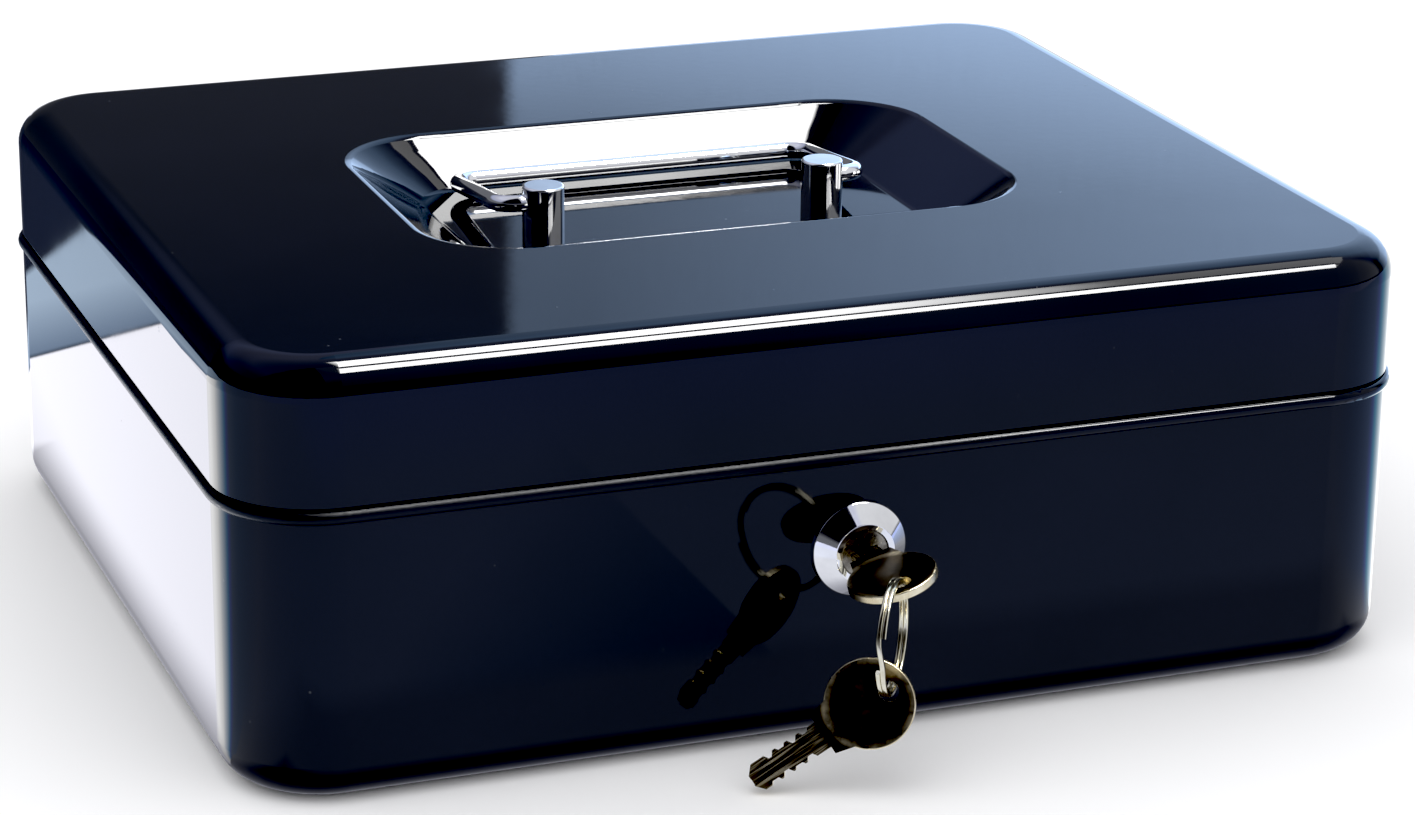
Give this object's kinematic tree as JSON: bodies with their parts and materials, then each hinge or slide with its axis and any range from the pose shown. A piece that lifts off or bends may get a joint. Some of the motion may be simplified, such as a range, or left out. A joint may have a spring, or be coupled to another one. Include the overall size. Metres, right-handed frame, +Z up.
{
  "type": "cash box",
  "caption": "Rectangular steel cash box with a hinged lid, a sunk folding wire handle, a front cam lock with keys on a ring, and a lift-out coin tray.",
  "frame": {"origin": "centre of the box's flat base, on the surface that it stands on", "axes": "+X to the right seen from the lock side, +Y from the lock side to the hinge side, +Z up"},
  "size_m": [0.3024, 0.3045, 0.1074],
  "materials": {
    "black_gloss_paint": "high gloss black enamel",
    "chrome_plate": "polished chrome plate",
    "zinc_plate": "bright zinc plate",
    "plug_nickel": "nickel plate, rubbed",
    "wafer_brass": "stamped brass",
    "spring_steel": "bright spring wire",
    "key_metal": "nickel-plated brass, darkened",
    "ring_nickel": "bright nickel plate",
    "tray_plastic": "fine textured moulding"
  },
  "bodies": {
    "box_body": {"body_shell": "black_gloss_paint", "hinge_leaf_body_left": "zinc_plate", "hinge_leaf_body_right": "zinc_plate", "hinge_pin_left": "zinc_plate", "hinge_pin_right": "zinc_plate", "hinge_rivets_body": "zinc_plate", "lock_housing": "chrome_plate", "lock_washer": "zinc_plate", "lock_nut": "zinc_plate"},
    "lid": {"lid_shell": "black_gloss_paint", "hinge_leaf_lid_left": "zinc_plate", "hinge_leaf_lid_right": "zinc_plate", "hinge_rivets_lid": "zinc_plate", "lid_catch": "zinc_plate", "handle_post_left": "chrome_plate", "handle_post_right": "chrome_plate", "post_screws": "zinc_plate", "post_washers": "zinc_plate"},
    "handle": {"handle_bail": "chrome_plate"},
    "lock_core": {"lock_plug": "plug_nickel", "wafer_tumblers": "wafer_brass", "wafer_springs": "spring_steel", "lock_cam": "zinc_plate", "cam_screw": "zinc_plate"},
    "key": {"key_inserted": "key_metal"},
    "ring": {"key_ring": "ring_nickel"},
    "spare": {"key_spare": "key_metal"},
    "tray": {"coin_tray": "tray_plastic"}
  },
  "joints": [
    {"name": "lid_hinge", "type": "hinge", "parent": "box_body", "child": "lid", "pos_m": [0, 0.1298, 0.0727], "axis": [-1, 0, 0], "range_deg": [0, 100]},
    {"name": "handle_fold", "type": "hinge", "parent": "lid", "child": "handle", "pos_m": [0, -0.0067, 0.103], "axis": [1, 0, 0], "range_deg": [0, 170]},
    {"name": "lock_turn", "type": "hinge", "parent": "box_body", "child": "lock_core", "pos_m": [0, -0.127, 0.0479], "axis": [0, 1, 0], "range_deg": [0, 90]},
    {"name": "key_slide", "type": "slide", "parent": "lock_core", "child": "key", "axis": [0, -1, 0], "range_m": [0, 0.024]},
    {"name": "ring_swing", "type": "hinge", "parent": "key", "child": "ring", "pos_m": [-0.00189, -0.1559, 0.0484], "axis": [-0.8192, 0.5736, 0], "range_deg": [0, 30]},
    {"name": "spare_swing", "type": "hinge", "parent": "ring", "child": "spare", "pos_m": [-0.0052, -0.1606, 0.0257], "axis": [0.5736, 0.8192, 0], "range_deg": [0, 90]},
    {"name": "tray_lift", "type": "slide", "parent": "box_body", "child": "tray", "axis": [0, 0, 1], "range_m": [0, 0.008]}
  ]
}
